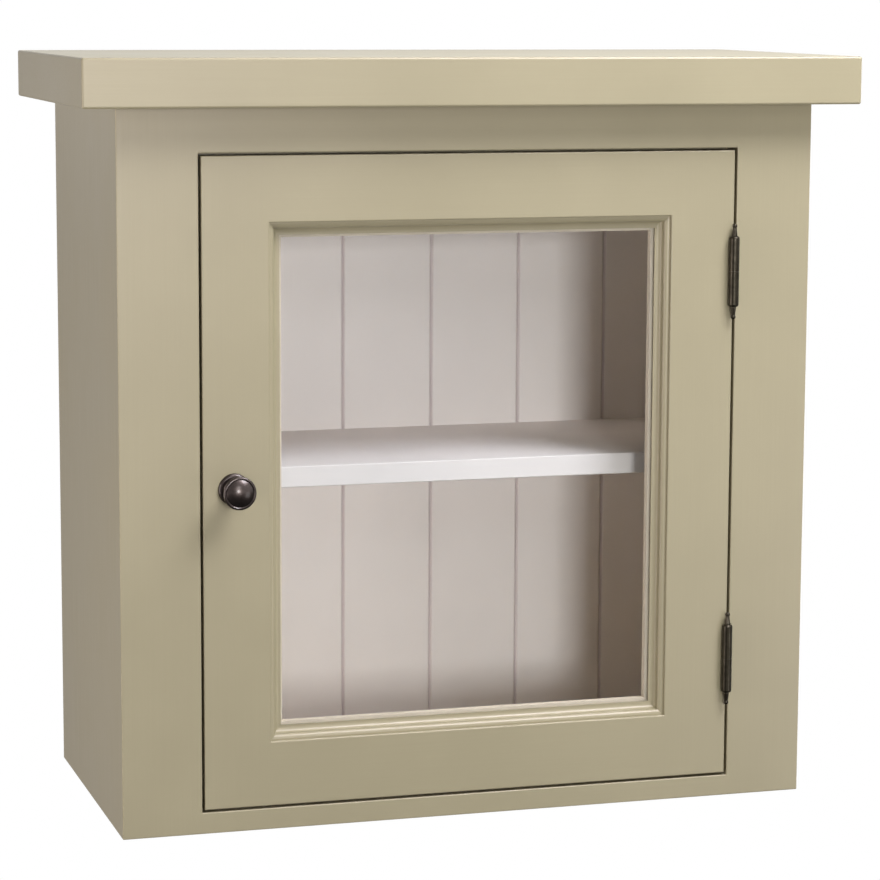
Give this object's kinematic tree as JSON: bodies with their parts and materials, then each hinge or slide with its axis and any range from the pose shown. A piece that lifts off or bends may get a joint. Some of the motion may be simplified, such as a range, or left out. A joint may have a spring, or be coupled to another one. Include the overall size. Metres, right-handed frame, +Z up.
{
  "type": "glazed kitchen wall cabinet",
  "caption": "Painted wall cabinet with a thick overhanging top, a face frame and an inset glazed door on finial hinges; fixed shelf and boarded back inside.",
  "frame": {"origin": "on the wall plane, at the middle of the four wall fixings and of the carcass's height", "axes": "+X to the right seen from the front, +Y into the wall, +Z up; the door faces -Y"},
  "size_m": [0.664, 0.316, 0.64],
  "materials": {
    "sage_paint": "eggshell paint on timber, grey green",
    "white_paint": "eggshell paint on timber, off-white",
    "two_tone_paint": "eggshell paint on timber, grey green outside, warm cream inside",
    "bare_timber": "planed softwood",
    "clear_glass": "clear float glass",
    "dark_bronze": "dark bronzed iron, soft polish",
    "zinc_steel": "zinc plated steel",
    "felt_rubber": "soft rubber"
  },
  "bodies": {
    "carcass": {"left_side": "two_tone_paint", "right_side": "two_tone_paint", "top_panel": "two_tone_paint", "bottom_panel": "two_tone_paint", "shelf": "white_paint", "top_board": "sage_paint", "hanging_rail_top": "bare_timber", "hanging_rail_bottom": "bare_timber", "frame_left_stile": "sage_paint", "frame_right_stile": "sage_paint", "frame_top_rail": "sage_paint", "frame_bottom_rail": "sage_paint", "door_stop": "sage_paint", "top_stop": "sage_paint", "stop_bumpers": "felt_rubber", "catch_magnets": "zinc_steel", "frame_dowels": "bare_timber", "back_board_nails": "zinc_steel", "hanging_rail_screws": "zinc_steel", "top_board_screws": "zinc_steel", "frame_leaf_screws": "dark_bronze", "back_board_1": "white_paint", "back_board_2": "white_paint", "back_board_3": "white_paint", "back_board_4": "white_paint", "back_board_5": "white_paint", "back_board_6": "white_paint", "back_board_7": "white_paint", "hinge_upper_frame_leaf": "dark_bronze", "hinge_upper_pin": "dark_bronze", "hinge_upper_washer": "dark_bronze", "hinge_upper_bottom_finial": "dark_bronze", "hinge_lower_frame_leaf": "dark_bronze", "hinge_lower_pin": "dark_bronze", "hinge_lower_washer": "dark_bronze", "hinge_lower_bottom_finial": "dark_bronze"},
    "door": {"door_knob_stile": "sage_paint", "door_hinge_stile": "sage_paint", "door_bottom_rail": "sage_paint", "door_top_rail": "sage_paint", "glass_pane": "clear_glass", "glazing_bead_left": "white_paint", "glazing_bead_right": "white_paint", "glazing_bead_bottom": "white_paint", "glazing_bead_top": "white_paint", "glazing_pins": "zinc_steel", "knob": "dark_bronze", "knob_rose": "dark_bronze", "knob_screw": "zinc_steel", "strike_plates": "zinc_steel", "strike_screws": "zinc_steel", "door_leaf_screws": "dark_bronze", "hinge_upper_door_leaf": "dark_bronze", "hinge_upper_top_finial": "dark_bronze", "hinge_lower_door_leaf": "dark_bronze", "hinge_lower_top_finial": "dark_bronze"}
  },
  "joints": [
    {"name": "door_swing", "type": "hinge", "parent": "carcass", "child": "door", "pos_m": [0.2297, -0.2896, 0], "axis": [0, 0, 1], "range_deg": [0, 180]}
  ]
}
